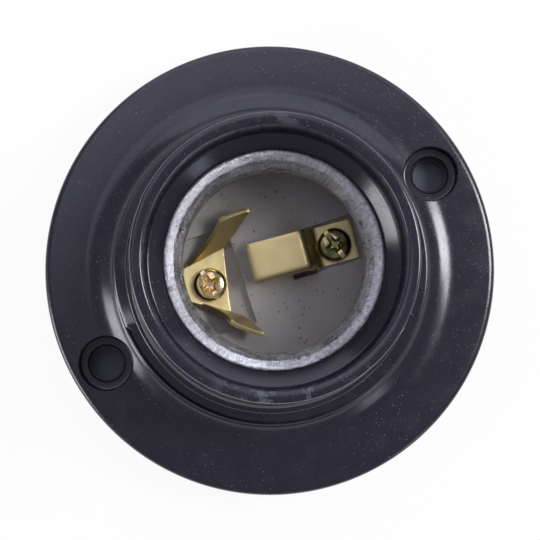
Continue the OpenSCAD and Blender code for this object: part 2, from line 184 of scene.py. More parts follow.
def applied(obj, angle=34):
    """Makes the object's modifiers part of its mesh."""
    graph = bpy.context.evaluated_depsgraph_get()
    mesh = bpy.data.meshes.new_from_object(obj.evaluated_get(graph))
    obj.modifiers.clear()
    obj.data = mesh
    shade(obj, angle)
    return obj


def cut(obj, *cutters, angle=34):
    """Cuts other objects out of this one and removes them."""
    for cutter in cutters:
        step = obj.modifiers.new("cut", "BOOLEAN")
        step.operation = "DIFFERENCE"
        step.solver = "EXACT"
        step.object = cutter
    applied(obj, angle)
    for cutter in cutters:
        bpy.data.objects.remove(cutter)
    return obj


def block(name, low, high, matrix=Matrix.Identity(4), foot=1.0):
    """A box between two corners in millimetres, placed by a matrix in metres; foot narrows its lower end."""
    bm = bmesh.new()
    bmesh.ops.create_cube(bm, size=1)
    bmesh.ops.scale(bm, vec=(foot, foot, 1), verts=[v for v in bm.verts if v.co.z < 0])
    size = Vector(high) - Vector(low)
    middle = (Vector(high) + Vector(low)) / 2
    bmesh.ops.scale(bm, vec=size * MM, verts=bm.verts)
    bmesh.ops.translate(bm, vec=middle * MM, verts=bm.verts)
    bmesh.ops.transform(bm, matrix=matrix, verts=bm.verts)
    return finished(name, bm)


def wave(angle, height, pitch):
    """Height of a right-hand thread's wave at an angle round the axis, from -1 to 1."""
    return math.cos(TURN * height / pitch - angle)


def thread(bm, mean_r, reach, amp, pitch, low, high, run):
    """Pushes the wall near one radius into a helical thread that fades at both ends."""
    for vert in bm.verts:
        x, y, z = vert.co / MM
        radius = math.hypot(x, y)
        if abs(radius - mean_r) > reach or not low <= z <= high:
            continue
        depth = amp * max(0.0, min(1.0, (z - low) / run, (high - z) / run))
        grown = radius + depth * wave(math.atan2(y, x), z, pitch)
        vert.co.x *= grown / radius
        vert.co.y *= grown / radius


def dress(obj, node, body, material):
    """Puts a finished piece in the place of its CAD node."""
    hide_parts(node)
    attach(obj, body)
    obj.data.materials.clear()
    obj.data.materials.append(material)
    return obj


def contact_place(side):
    """Matrix of a contact screw's place: side 1 is the centre contact's, -1 the side contact's."""
    turn = CONTACT_TURN + (0 if side > 0 else math.pi)
    return Matrix.Rotation(turn, 4, "Z") @ Matrix.Translation((CONTACT_U * MM, 0, 0))


# Shader helpers


def new_group(name, inputs, outputs):
    """An empty shader node group with its sockets, its input node and its output node."""
    group = bpy.data.node_groups.new(name, "ShaderNodeTree")
    for label, kind, value in inputs:
        socket = group.interface.new_socket(label, in_out="INPUT", socket_type=kind)
        if value is not None:
            socket.default_value = value
    for label, kind in outputs:
        group.interface.new_socket(label, in_out="OUTPUT", socket_type=kind)
    return group, group.nodes.new("NodeGroupInput"), group.nodes.new("NodeGroupOutput")


class Tree:
    """Short calls for adding and linking nodes in one node tree."""

    def __init__(self, tree):
        self.tree = tree

    def add(self, kind, **values):
        node = self.tree.nodes.new(kind)
        for key, value in values.items():
            setattr(node, key, value)
        return node

    def link(self, source, target):
        self.tree.links.new(source, target)

    def feed(self, socket, value):
        """Links a socket to a socket, or sets it to a number, colour or vector."""
        if isinstance(value, bpy.types.NodeSocket):
            self.link(value, socket)
        else:
            socket.default_value = value

    def maths(self, operation, a, b=None, clamp=False):
        node = self.add("ShaderNodeMath", operation=operation, use_clamp=clamp)
        self.feed(node.inputs[0], a)
        if b is not None:
            self.feed(node.inputs[1], b)
        return node.outputs[0]

    def ramp(self, value, low, high, to_low=0.0, to_high=1.0):
        """Maps a value from one range to another, held at its ends."""
        node = self.add("ShaderNodeMapRange", clamp=True)
        for socket, number in zip(node.inputs, (value, low, high, to_low, to_high)):
            self.feed(socket, number)
        return node.outputs[0]

    def noise(self, vector, scale, detail=2.0, roughness=0.5, distortion=0.0):
        node = self.add("ShaderNodeTexNoise")
        self.feed(node.inputs["Vector"], vector)
        self.feed(node.inputs["Scale"], scale)
        node.inputs["Detail"].default_value = detail
        node.inputs["Roughness"].default_value = roughness
        node.inputs["Distortion"].default_value = distortion
        return node.outputs["Fac"]

    def mix(self, factor, a, b):
        node = self.add("ShaderNodeMix", data_type="RGBA")
        self.feed(node.inputs["Factor"], factor)
        self.feed(node.inputs[6], a)
        self.feed(node.inputs[7], b)
        return node.outputs[2]

    def group(self, group, **values):
        node = self.add("ShaderNodeGroup", node_tree=group)
        for key, value in values.items():
            self.feed(node.inputs[key.replace("_", " ")], value)
        return node

    def bump(self, height, strength, distance, normal=None):
        node = self.add("ShaderNodeBump")
        self.feed(node.inputs["Height"], height)
        node.inputs["Strength"].default_value = strength
        node.inputs["Distance"].default_value = distance * MM
        if normal is not None:
            self.link(normal, node.inputs["Normal"])
        return node.outputs["Normal"]


def dust_group():
    """Loose specks of dust: a mask of small dots, thinned by a slow noise."""
    group, ins, outs = new_group(
        "dust specks",
        [("Vector", "NodeSocketVector", None), ("Scale", "NodeSocketFloat", 900.0),
         ("Size", "NodeSocketFloat", 0.2), ("Share", "NodeSocketFloat", 0.2)],
        [("Mask", "NodeSocketFloat")])
    t = Tree(group)
    cells = t.add("ShaderNodeTexVoronoi", feature="F1")
    t.link(ins.outputs["Vector"], cells.inputs["Vector"])
    t.link(ins.outputs["Scale"], cells.inputs["Scale"])
    near = t.maths("LESS_THAN", cells.outputs["Distance"], ins.outputs["Size"])
    pick = t.add("ShaderNodeSeparateColor")
    t.link(cells.outputs["Color"], pick.inputs[0])
    chosen = t.maths("LESS_THAN", pick.outputs[0], ins.outputs["Share"])
    mask = t.maths("MULTIPLY", near, chosen)
    patches = t.ramp(t.noise(ins.outputs["Vector"], 120.0, 2.0), 0.35, 0.65, 0.25, 1.0)
    strong = t.maths("MULTIPLY", t.maths("MULTIPLY", mask, patches), pick.outputs[1])
    t.link(strong, outs.inputs["Mask"])
    return group


def round_group():
    """Place round the lamp axis: the distance from it and the angle, from 0 to 1 a turn."""
    group, ins, outs = new_group(
        "round the axis", [("Vector", "NodeSocketVector", None)],
        [("Radius", "NodeSocketFloat"), ("Turn", "NodeSocketFloat"), ("Height", "NodeSocketFloat")])
    t = Tree(group)
    parts = t.add("ShaderNodeSeparateXYZ")
    t.link(ins.outputs["Vector"], parts.inputs[0])
    x, y, z = parts.outputs
    square = t.maths("ADD", t.maths("MULTIPLY", x, x), t.maths("MULTIPLY", y, y))
    t.link(t.maths("SQRT", square), outs.inputs["Radius"])
    turn = t.maths("ADD", t.maths("DIVIDE", t.maths("ARCTAN2", y, x), TURN), 0.5)
    t.link(turn, outs.inputs["Turn"])
    t.link(z, outs.inputs["Height"])
    return group


def scuff_group():
    """Pale scuffs: short smears where two noises meet, stronger in some places."""
    group, ins, outs = new_group(
        "scuffs",
        [("Vector", "NodeSocketVector", None), ("Scale", "NodeSocketFloat", 200.0),
         ("Amount", "NodeSocketFloat", 0.5)],
        [("Mask", "NodeSocketFloat")])
    t = Tree(group)
    coarse = t.noise(ins.outputs["Vector"], ins.outputs["Scale"], 5.0, 0.65, 0.6)
    fine = t.noise(ins.outputs["Vector"], t.maths("MULTIPLY", ins.outputs["Scale"], 7.0), 3.0, 0.6)
    limit = t.maths("SUBTRACT", 1.0, t.maths("MULTIPLY", ins.outputs["Amount"], 0.5))
    joined = t.maths("ADD", coarse, t.maths("MULTIPLY", fine, 0.35))
    t.link(t.ramp(joined, limit, t.maths("ADD", limit, 0.12)), outs.inputs["Mask"])
    return group


DUST = dust_group()
ROUND = round_group()
SCUFF = scuff_group()


def new_material(name, **sockets):
    """A material with a Principled shader, its sockets set, and the object's coordinates."""
    material = bpy.data.materials.new(name)
    material.use_nodes = True
    t = Tree(material.node_tree)
    shader = material.node_tree.nodes["Principled BSDF"]
    for key, value in sockets.items():
        shader.inputs[key.replace("_", " ")].default_value = value
    place = t.add("ShaderNodeTexCoord").outputs["Object"]
    return material, t, shader, place


def phenolic(name, rough_flat, rough_gloss):
    """Black phenolic: a satin flange, glossier curves, fine dust, faint mottling and pale scuffs."""
    material, t, shader, place = new_material(name, IOR=1.56)
    around = t.group(ROUND, Vector=place)
    flat = t.ramp(around.outputs["Radius"], 24.6 * MM, 26.4 * MM)
    mottle = t.noise(place, 260.0, 4.0, 0.6)
    fine = t.group(DUST, Vector=place, Scale=1900.0, Size=0.17, Share=0.7).outputs["Mask"]
    coarse = t.group(DUST, Vector=place, Scale=560.0, Size=0.075, Share=0.3).outputs["Mask"]
    specks = t.maths("ADD", t.maths("MULTIPLY", fine, 0.7), coarse, clamp=True)
    turn = around.outputs["Turn"]
    worn_low = t.maths("MULTIPLY", t.ramp(turn, 0.09, 0.12), t.ramp(turn, 0.29, 0.25))
    worn_high = t.maths("MULTIPLY", t.ramp(turn, 0.63, 0.645), t.ramp(turn, 0.69, 0.675))
    worn = t.maths("ADD", worn_low, t.maths("MULTIPLY", worn_high, 0.45), clamp=True)
    on_lip = t.maths("MULTIPLY", worn, t.ramp(around.outputs["Height"], (OVERALL_H - 1.2) * MM,
                                                (OVERALL_H - 0.3) * MM))
    smears = t.group(SCUFF, Vector=place, Scale=330.0, Amount=0.62).outputs["Mask"]
    rubbed = t.maths("MULTIPLY", smears, t.maths("ADD", on_lip, 0.06))
    dark = t.mix(mottle, (0.0078, 0.0074, 0.0135, 1), (0.0118, 0.0112, 0.019, 1))
    dusty = t.mix(t.maths("MULTIPLY", specks, 0.38), dark, (0.3, 0.3, 0.34, 1))
    t.link(t.mix(t.maths("MULTIPLY", rubbed, 0.32), dusty, (0.2, 0.2, 0.23, 1)), shader.inputs["Base Color"])
    roughness = t.mix(flat, (rough_gloss,) * 3 + (1,), (rough_flat,) * 3 + (1,))
    uneven = t.maths("ADD", roughness, t.ramp(mottle, 0.3, 0.7, -0.03, 0.05))
    t.link(t.maths("ADD", uneven, t.maths("MULTIPLY", specks, 0.3), clamp=True), shader.inputs["Roughness"])
    grain = t.maths("MULTIPLY", t.noise(place, 2200.0, 3.0, 0.65), t.maths("ADD", flat, 0.25, clamp=True))
    orange_peel = t.bump(t.noise(place, 420.0, 2.0, 0.5), 0.2, 0.04)
    t.link(t.bump(t.maths("ADD", grain, t.maths("MULTIPLY", specks, 2.0)), 0.5, 0.014, orange_peel),
           shader.inputs["Normal"])
    return material


def plated_steel(name, base, marks=1.0):
    """Dull zinc-plated sheet with drawing marks that run up the wall and across the rim."""
    material, t, shader, place = new_material(name, Metallic=1.0)
    around = t.group(ROUND, Vector=place)
    streak_place = t.add("ShaderNodeCombineXYZ")
    t.link(t.maths("MULTIPLY", around.outputs["Turn"], 150.0), streak_place.inputs[0])
    t.link(t.maths("MULTIPLY", around.outputs["Height"], 260.0), streak_place.inputs[1])
    streaks = t.noise(streak_place.outputs[0], 3.2, 4.0, 0.7)
    blotches = t.noise(place, 330.0, 4.0, 0.65)
    pits = t.group(DUST, Vector=place, Scale=800.0, Size=0.3, Share=0.12).outputs["Mask"]
    grain = t.noise(place, 1700.0, 3.0, 0.7)
    marked = t.maths("ADD", t.maths("MULTIPLY", streaks, 0.4), t.maths("MULTIPLY", blotches, 0.25))
    tone = t.ramp(t.maths("ADD", marked, t.maths("MULTIPLY", grain, 0.35)), 0.42, 0.58)
    bright = t.mix(tone, (base[0] * 0.5, base[1] * 0.49, base[2] * 0.49, 1), base + (1,))
    t.link(t.mix(pits, bright, (0.12, 0.11, 0.1, 1)), shader.inputs["Base Color"])
    t.link(t.ramp(blotches, 0.35, 0.65, 0.26, 0.46), shader.inputs["Roughness"])
    height = t.maths("ADD", t.maths("MULTIPLY", streaks, 0.8), t.maths("MULTIPLY", blotches, 0.35))
    t.link(t.bump(t.maths("ADD", height, t.maths("MULTIPLY", grain, 0.7)), 1.0 * marks, 0.26),
           shader.inputs["Normal"])
    return material


def fired_clay(name):
    """Unglazed light grey ceramic with dark specks and a fine tooth."""
    material, t, shader, place = new_material(name, Roughness=0.62, IOR=1.45)
    mottle = t.noise(place, 180.0, 5.0, 0.6)
    specks = t.group(DUST, Vector=place, Scale=560.0, Size=0.13, Share=0.6).outputs["Mask"]
    fine_specks = t.group(DUST, Vector=place, Scale=1500.0, Size=0.24, Share=0.4).outputs["Mask"]
    clay = t.mix(t.ramp(mottle, 0.3, 0.7), (0.46, 0.43, 0.39, 1), (0.57, 0.535, 0.485, 1))
    spotted = t.mix(t.maths("ADD", specks, fine_specks, clamp=True), clay, (0.07, 0.065, 0.06, 1))
    t.link(spotted, shader.inputs["Base Color"])
    t.link(t.bump(t.noise(place, 2400.0, 3.0, 0.6), 0.25, 0.02), shader.inputs["Normal"])
    return material


def sheet_brass(name):
    """Pale rolled brass with faint rolling marks and handling stains."""
    material, t, shader, place = new_material(name, Metallic=0.94)
    mottle = t.noise(place, 420.0, 4.0, 0.6)
    stains = t.noise(place, 140.0, 3.0, 0.6)
    clean = t.mix(mottle, (0.67, 0.54, 0.24, 1), (0.84, 0.71, 0.36, 1))
    t.link(t.mix(t.ramp(stains, 0.55, 0.75), clean, (0.5, 0.38, 0.17, 1)), shader.inputs["Base Color"])
    t.link(t.ramp(mottle, 0.3, 0.7, 0.3, 0.46), shader.inputs["Roughness"])
    uneven = t.bump(t.noise(place, 600.0, 3.0, 0.6), 0.35, 0.012)
    t.link(t.bump(t.noise(place, 2600.0, 2.0, 0.6), 0.3, 0.006, uneven), shader.inputs["Normal"])
    return material


def yellow_zinc(name, low, middle_tone, high):
    """Yellow passivated zinc with green, yellow and rosy tints in patches."""
    material, t, shader, place = new_material(name, Metallic=1.0)
    drift = t.noise(place, 520.0, 3.0, 0.6)
    tint = t.add("ShaderNodeValToRGB")
    t.link(drift, tint.inputs[0])
    stops = tint.color_ramp.elements
    stops[0].position, stops[0].color = 0.36, low
    stops[1].position, stops[1].color = 0.7, high
    middle = stops.new(0.5)
    middle.color = middle_tone
    t.link(tint.outputs[0], shader.inputs["Base Color"])
    t.link(t.ramp(drift, 0.3, 0.7, 0.09, 0.18), shader.inputs["Roughness"])
    t.link(t.bump(t.noise(place, 1600.0, 2.0, 0.5), 0.15, 0.02), shader.inputs["Normal"])
    return material


FLANGE_BLACK = phenolic("phenolic flange", 0.21, 0.19)
BARREL_BLACK = phenolic("phenolic barrel", 0.2, 0.17)
STEEL = plated_steel("plated steel", (0.88, 0.88, 0.9))
WASHER_STEEL = plated_steel("washer steel", (0.6, 0.6, 0.62), 0.3)
CLAY = fired_clay("fired clay")
BRASS = sheet_brass("sheet brass")
ZINC = yellow_zinc("yellow zinc", (0.38, 0.4, 0.15, 1), (0.8, 0.65, 0.3, 1), (0.86, 0.6, 0.4, 1))
# A darker, greenish copy of the yellow zinc for the centre contact's screw: the greenish tint is the screw's own,
# the darkness is painted shade for the shell's shadow over it.
GREEN_ZINC_PAINTED_SHADE = yellow_zinc("greenish zinc painted shade", (0.13, 0.16, 0.06, 1), (0.32, 0.29, 0.12, 1), (0.56, 0.42, 0.3, 1))


def ramp(value, start, end):
    """Share of the way from start to end, held between 0 and 1."""
    return max(0.0, min(1.0, (value - start) / (end - start)))


def shape_collar_top(bm):
    """Slopes the collar's top before its moulded step and sinks it behind the step."""
    for vert in bm.verts:
        x, y, z = vert.co / MM
        radius = math.hypot(x, y)
        share = ramp(z, COLLAR_H - 0.8, COLLAR_H - 0.1)
        if radius < FOOT_RING_R - 0.3 or not share:
            continue
        angle = math.degrees(math.atan2(y, x)) % 360
        if angle < COLLAR_STEP:
            sink = 0.5 * max(0.0, radius - FOOT_RING_R) * ramp(angle, 142, 168)
        else:
            sink = 0.38 * ramp(angle, 285, COLLAR_STEP) * ramp(radius, COLLAR_R - 0.2, COLLAR_R - 0.45)
        vert.co.z -= sink * share * MM


def make_base():
    """Flange, cove and collar in one moulding, hollow at the back and threaded inside."""
    inner_r = BARREL_THREAD_R + THREAD_GAP
    corners = [(SHELF_HOLE_R, SHELF_Z - 2.6, 0.3), (SHELF_HOLE_R + 3.2, SHELF_Z - 2.6, 1.2),
               (COVE_FOOT_R - 4, PLATE_Z, 1.4), (RIM_IN_R, PLATE_Z, 0.8), (RIM_IN_R, 0, 0.25),
               (FLANGE_R, 0, 0.25), (FLANGE_R, FLANGE_H, FLANGE_EDGE_R)]
    corners += arc(COVE_FOOT_R + 1.05, FLANGE_H + COVE_ROUND, COVE_ROUND, COVE_ROUND, -90, -140, 20)
    corners += [(COLLAR_R, FLANGE_H + 2.2, 0.4), (COLLAR_R, COLLAR_H - 1.2, 0), (COLLAR_R, COLLAR_H, 0.75), (COLLAR_R - 0.7, COLLAR_H, 0.1),
                (COLLAR_R - 1.1, COLLAR_H, 0.1), (COLLAR_R - 1.5, COLLAR_H, 0.1), (inner_r + 0.35, COLLAR_H, 0.3)]
    corners += wall(inner_r, COLLAR_H - 0.3, SHELF_Z + 0.1, 44)
    corners += [(inner_r, SHELF_Z, 0), (SHELF_HOLE_R, SHELF_Z, 0.3)]
    bm = spun(rounded(corners), 360)
    thread(bm, inner_r, 0.3, BARREL_THREAD_AMP, BARREL_PITCH, SHELF_Z + 0.05, COLLAR_H - 0.2, 0.4)
    shape_collar_top(bm)
    base = finished("base_moulding", bm)
    bosses = []
    cutters = []
    for side in (-1, 1):
        boss = spun(rounded([(1, 0, 0), (4.8, 0, 0.25), (4.8, FLANGE_H - 1, 0), (1, FLANGE_H - 1, 0)]), 72)
        bmesh.ops.translate(boss, vec=(side * FIXING_R * MM, 0, 0), verts=boss.verts)
        bosses.append(finished("fixing_boss", boss))
        profile = [(0.02, -1, 0), (2.25, -1, 0), (2.25, 2.0, 0), (2.6, 2.0, 0), (2.6, 5.1, 0),
                   (2.8, 5.3, 0), (3.92, 5.3, 0.35), (3.92, FLANGE_H - 0.12, 0), (4.05, FLANGE_H + 0.05, 0),
                   (4.05, FLANGE_H + 14, 0), (0.02, FLANGE_H + 14, 0)]
        hole = spun(rounded(profile), 96)
        spot = Vector((side * FIXING_R * MM, 0, 0)) + Vector(HOLE_SHIFT) * MM
        bmesh.ops.translate(hole, vec=spot, verts=hole.verts)
        cutters.append(finished("fixing_hole", hole))
    for boss in bosses:
        step = base.modifiers.new("boss", "BOOLEAN")
        step.operation = "UNION"
        step.solver = "EXACT"
        step.object = boss
    applied(base)
    for boss in bosses:
        bpy.data.objects.remove(boss)
    cut(base, *cutters)
    return dress(base, "base", "root", FLANGE_BLACK)


def barrel_corners():
    """The barrel's outline, from its foot up the outside, over the lip and down the inside."""
    bevel_end = SHELL_TOP_Z + 0.2
    rim_seat = SHELL_TOP_Z - SHELL_RIM_H - 0.05
    flare_seat = SHELL_END_Z + SHELL_T + 0.05
    shoulder = 27.3
    return (
        [(INSERT_BORE_R, BARREL_END_Z, 0.2)]
        + wall(BARREL_THREAD_R, BARREL_END_Z, FOOT_Z - 0.1, 44)
        + [(BARREL_THREAD_R, FOOT_Z, 0), (FOOT_RING_R, FOOT_Z, 0.2), (FOOT_RING_R, FOOT_Z + 1.9, 0.4),
           (STEP_R + 0.5, FOOT_Z + 1.95, 0.15), (STEP_R + 0.3, STEP_Z - 0.3, 0.2), (STEP_R, STEP_Z, 0.15),
           (LIP_R + 0.15, OVERALL_H - 5.5, 0)]
        + wall(LIP_R + 0.06, OVERALL_H - 4.6, OVERALL_H - 0.9, 16)
        + [(LIP_R, OVERALL_H - 0.02, 0.42), (LIP_R - 0.7, OVERALL_H, 0), (MOUTH_R + 0.5, OVERALL_H - 0.03, 0),
           (MOUTH_R, OVERALL_H - 0.1, 0.3), (BEVEL_R + 0.2, bevel_end + BEVEL_H + 0.1, 0.2),
           (BEVEL_R, bevel_end + BEVEL_H, 0.1), (RIM_BORE_R, bevel_end, 0.08), (RIM_BORE_R, rim_seat, 0),
           (SHELL_BORE_R, rim_seat, 0.1), (SHELL_BORE_R, flare_seat, 0.1), (15.1, flare_seat, 0),
           (15.1, shoulder, 0.2), (INSERT_BORE_R, shoulder, 0)])


def shape_lip(bm):
    """Adds the lug beside the lip and, opposite it, the slight kink in the lip's edge."""
    for vert in bm.verts:
        x, y, z = vert.co / MM
        radius = math.hypot(x, y)
        angle = math.degrees(math.atan2(y, x)) % 360
        out = 0.0
        if radius > LIP_R - 0.6 and LUG_START < angle <= LUG_END and OVERALL_H - 3.4 < z < OVERALL_H - 1.3:
            out = 0.65 * ramp(angle, LUG_START, LUG_END)
        if radius > LIP_R - 0.6 and KINK_START < angle <= KINK_END and z > OVERALL_H - 3.4:
            out = 0.11 * ramp(angle, KINK_START, KINK_END)
        vert.co.x *= 1 + out / radius
        vert.co.y *= 1 + out / radius


def make_barrel():
    """The black tube that screws into the base, with its lip, its bevel and its foot thread."""
    bm = spun(rounded(barrel_corners()), 360)
    thread(bm, BARREL_THREAD_R, 0.2, BARREL_THREAD_AMP, BARREL_PITCH, BARREL_END_Z, FOOT_Z - 0.05, 0.6)
    shape_lip(bm)
    barrel = finished("barrel_tube", bm)
    return dress(barrel, "barrel", "barrel", BARREL_BLACK)


def make_shell():
    """The threaded sleeve: one drawn sheet with a rolled rim and a flare at its lower edge."""
    low, high = SHELL_END_Z + 1.2, SHELL_TOP_Z - SHELL_RIM_H - 0.1
    outer_r = LAMP_MEAN_R + SHELL_T
    rim = [(LAMP_MEAN_R + 0.28, SHELL_TOP_Z - 0.75, 0.15), (SHELL_RIM_R - 1.38, SHELL_TOP_Z - 0.42, 0.2),
           (SHELL_RIM_R - 0.45, SHELL_TOP_Z - 0.04, 0.3), (SHELL_RIM_R, SHELL_TOP_Z - 0.14, 0.2)]
    corners = ([(SHELL_FLARE_R, SHELL_END_Z, 0.05), (LAMP_MEAN_R + 0.3, SHELL_END_Z, 0.2)]
               + wall(LAMP_MEAN_R, low - 0.4, high, 70)
               + [(LAMP_MEAN_R + 0.1, SHELL_TOP_Z - 1.0, 0.15)] + rim
               + [(SHELL_RIM_R, SHELL_TOP_Z - SHELL_RIM_H, 0.1), (outer_r + 0.1, SHELL_TOP_Z - SHELL_RIM_H, 0.1)]
               + wall(outer_r, high, low - 0.3, 70)
               + [(outer_r + 0.15, SHELL_END_Z + SHELL_T, 0.1), (SHELL_FLARE_R, SHELL_END_Z + SHELL_T, 0.05)])
    bm = spun(rounded(corners), 360)
    for mean in (LAMP_MEAN_R, outer_r):
        thread(bm, mean, 0.05, LAMP_AMP, LAMP_PITCH, low, high, 1.2)
    shell = finished("threaded_shell", bm, 50)
    return dress(shell, "screw_shell", "shell", STEEL)


def refined(node, bevel, angle=30):
    """A copy of a CAD node's mesh with its doubles merged and its sharp edges softened."""
    bm = bmesh.new()
    bm.from_mesh(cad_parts[node].data)
    bmesh.ops.remove_doubles(bm, verts=bm.verts, dist=2e-6)
    bmesh.ops.dissolve_limit(bm, angle_limit=math.radians(0.5), verts=bm.verts, edges=bm.edges)
    limit = math.radians(angle)
    sharp = [e for e in bm.edges if len(e.link_faces) == 2 and e.calc_face_angle(0) > limit]
    bmesh.ops.bevel(bm, geom=sharp, offset=bevel * MM, offset_type="OFFSET", segments=3, profile=0.5,
                    affect="EDGES", clamp_overlap=True, material=-1)
    return finished(node + "_piece", bm)


def make_insert():
    """The ceramic body, with the edges of its recesses slightly rounded as fired clay has them."""
    return dress(refined("ceramic_insert", 0.14), "ceramic_insert", "root", CLAY)


def sheet(name, rows, thickness, crease_round=2):
    """A bent sheet through rows of points in millimetres, given its thickness upwards."""
    bm = bmesh.new()
    grid = bmesh.ops.create_grid(bm, x_segments=len(rows[0]) - 1, y_segments=len(rows) - 1, size=1)
    for vert, point in zip(grid["verts"], [point for row in rows for point in row]):
        vert.co = Vector(point) * MM
    mesh = bpy.data.meshes.new(name)
    bm.to_mesh(mesh)
    bm.free()
    obj = bpy.data.objects.new(name, mesh)
    bpy.context.scene.collection.objects.link(obj)
    smooth = obj.modifiers.new("smooth", "SUBSURF")
    smooth.levels = smooth.render_levels = crease_round
    smooth.boundary_smooth = "PRESERVE_CORNERS"
    thick = obj.modifiers.new("thickness", "SOLIDIFY")
    thick.thickness = thickness * MM
    thick.offset = 1
    edge = obj.modifiers.new("edge", "BEVEL")
    edge.width = 0.07 * MM
    edge.segments = 3
    edge.limit_method = "ANGLE"
    edge.angle_limit = math.radians(50)
    return applied(obj)


def along(start, end, count):
    """Points from start to end, both included."""
    a, b = Vector(start), Vector(end)
    return [a.lerp(b, k / count) for k in range(count + 1)]


def pierced(leaf):
    """Cuts a sheet's clearance hole for its screw, at the sheet's own origin."""
    radius = 1.6
    hole = spun(rounded([(0.02, -1, 0), (radius, -1, 0), (radius, SEAT_Z + 2, 0), (0.02, SEAT_Z + 2, 0)]), 48)
    return cut(leaf, finished("screw_hole", hole))


def make_centre_contact():
    """The tongue: a flat foot under its screw, a riser and a raised strip that dips at its end."""
    foot, crown = SEAT_Z, 36.1
    side_view = [(3.0, foot), (1.0, foot), (-1.4, foot), (-2.3, foot), (-2.95, foot + 0.35),
                 (-3.15, foot + 1.0), (-3.6, foot + 2.8), (-4.05, crown - 1.0), (-4.2, crown - 0.4),
                 (-4.4, crown - 0.08), (-4.75, crown), (-5.3, crown), (-8.5, crown), (-11.0, crown),
                 (-11.5, crown - 0.04), (-11.7, crown - 0.16)]
    across = [(-2.51, 0.42, -0.75), (-2.42, 0.36, -0.35), (-2.2, 0.25, -0.08), (-1.8, 0.1, 0), (0, 0, 0),
              (2.4, 0, 0), (2.75, -0.02, -0.02), (2.93, -0.08, -0.06)]
    rows = []
    for x, z in side_view:
        roll = ramp(x, -3.6, -4.4)
        rows.append([(x, y + inwards * roll, z + dip * roll) for y, inwards, dip in across])
    tongue = pierced(sheet("centre_tongue", rows, STRIP_T))
    tongue.data.transform(contact_place(1) @ Matrix.Rotation(math.radians(-2.9), 4, "Z"))
    return dress(tongue, "centre_contact", "root", BRASS)


def make_side_contact():
    """The side contact: a plate under its screw and two wings folded up along its slanted sides."""
    inner = [(1.7, 8.7, 5.8), (1.7, 8.65, 5.0), (1.25, 7.5, 4.0), (0.1, 5.9, 2.6), (-1.4, 4.4, 1.2),
             (-2.7, 3.3, 0.35), (-3.2, 2.9, 0.06), (-3.5, 2.0, 0), (-3.6, 0, 0), (-3.4, -1.8, 0),
             (-2.7, -2.45, 0.05), (-1.7, -2.85, 0.35), (-0.4, -3.5, 1.2), (0.7, -4.15, 2.4), (1.6, -4.95, 3.9),
             (1.85, -5.5, 4.8), (1.85, -5.6, 5.5)]
    outer = [(5.95, 9.9, 6.2), (5.9, 9.8, 5.4), (5.0, 8.6, 4.2), (3.9, 7.3, 2.9), (3.0, 6.3, 1.6),
             (2.5, 5.6, 0.5), (2.35, 5.25, 0.08), (2.4, 4.0, 0), (2.5, 0, 0), (2.6, -3.4, 0),
             (2.65, -4.35, 0.08), (2.8, -4.65, 0.5), (3.3, -4.95, 1.4), (3.9, -5.25, 2.4), (5.0, -6.2, 3.7),
             (6.3, -7.7, 5.2), (6.35, -7.8, 5.9)]
    rows = [along(a, b, 6) for a, b in zip(outer, inner)]
    for row, bow in ((rows[0], 0.22), (rows[-1], -0.22)):
        for point in row[1:-1]:
            point.y += bow
            point.z += 0.15
    contact = pierced(sheet("side_contact_leaf", rows, STRIP_T * 1.3))
    lift = Matrix.Translation((-0.15 * MM, 0, (SEAT_Z + 0.14) * MM))
    turn = Matrix.Rotation(math.pi + math.radians(-12.6), 4, "Z")
    contact.data.transform(contact_place(-1) @ turn @ lift @ Matrix.Rotation(math.radians(4.6), 4, "Y"))
    return dress(contact, "side_contact", "root", BRASS)


def head_screw(name, head_r, head_h, shank_r, shank_l, slot):
    """A pan-head screw, head up, standing on z = 0, with a slot and a cross recess."""
    corners = [(0.02, -shank_l, 0), (shank_r - 0.25, -shank_l, 0.1), (shank_r, -shank_l + 0.4, 0.1),
               (shank_r, 0, 0), (head_r - 0.05, 0, 0.1), (head_r, head_h * 0.5, 0.3),
               (head_r * 0.9, head_h * 0.85, 0.35), (head_r * 0.5, head_h * 0.97, 0.5), (0.02, head_h, 0)]
    bm = spun(rounded(corners), 96)
    screw = finished(name, bm, 40)
    wide, deep = slot
    cutters = [block("slot", (-head_r - 1, -wide / 2, head_h - deep), (head_r + 1, wide / 2, head_h + 1))]
    reach = head_r * 0.64
    for turn in (0, math.pi / 2):
        arm = block("arm", (-reach, -wide * 0.72, head_h - deep * 2.1), (reach, wide * 0.72, head_h + 0.1),
                    Matrix.Rotation(turn, 4, "Z"), 0.45)
        cutters.append(arm)
    centre = block("centre", (-wide * 1.15, -wide * 1.15, head_h - deep * 2.1),
                   (wide * 1.15, wide * 1.15, head_h + 0.1), Matrix.Rotation(math.pi / 4, 4, "Z"), 0.3)
    cut(screw, *cutters, centre, angle=40)
    edge = screw.modifiers.new("edge", "BEVEL")
    edge.width = 0.05 * MM
    edge.segments = 2
    edge.limit_method = "ANGLE"
    edge.angle_limit = math.radians(40)
    return applied(screw, 40)


def make_contact_screw(side, node, turn, material):
    """One of the two yellow screws that hold the contacts."""
    screw = head_screw(node + "_piece", 2.35, 1.9, 1.45, 8.5, (0.66, 0.6))
    lift = Matrix.Translation((0, 0, (SEAT_Z + STRIP_T) * MM))
    screw.data.transform(contact_place(side) @ lift @ Matrix.Rotation(math.radians(turn), 4, "Z"))
    return dress(screw, node, "root", material)


def make_terminals():
    """Terminal blocks, clamp washers and clamp screws, reached through the open back."""
    for name in ("centre", "side"):
        block_piece = refined(name + "_terminal", 0.2)
        dress(block_piece, name + "_terminal", "root", BRASS)
        washer = refined(name + "_clamp_washer", 0.1)
        dress(washer, name + "_clamp_washer", name + "_clamp", WASHER_STEEL)
        screw = refined(name + "_terminal_screw", 0.06)
        dress(screw, name + "_terminal_screw", name + "_clamp_screw", ZINC)


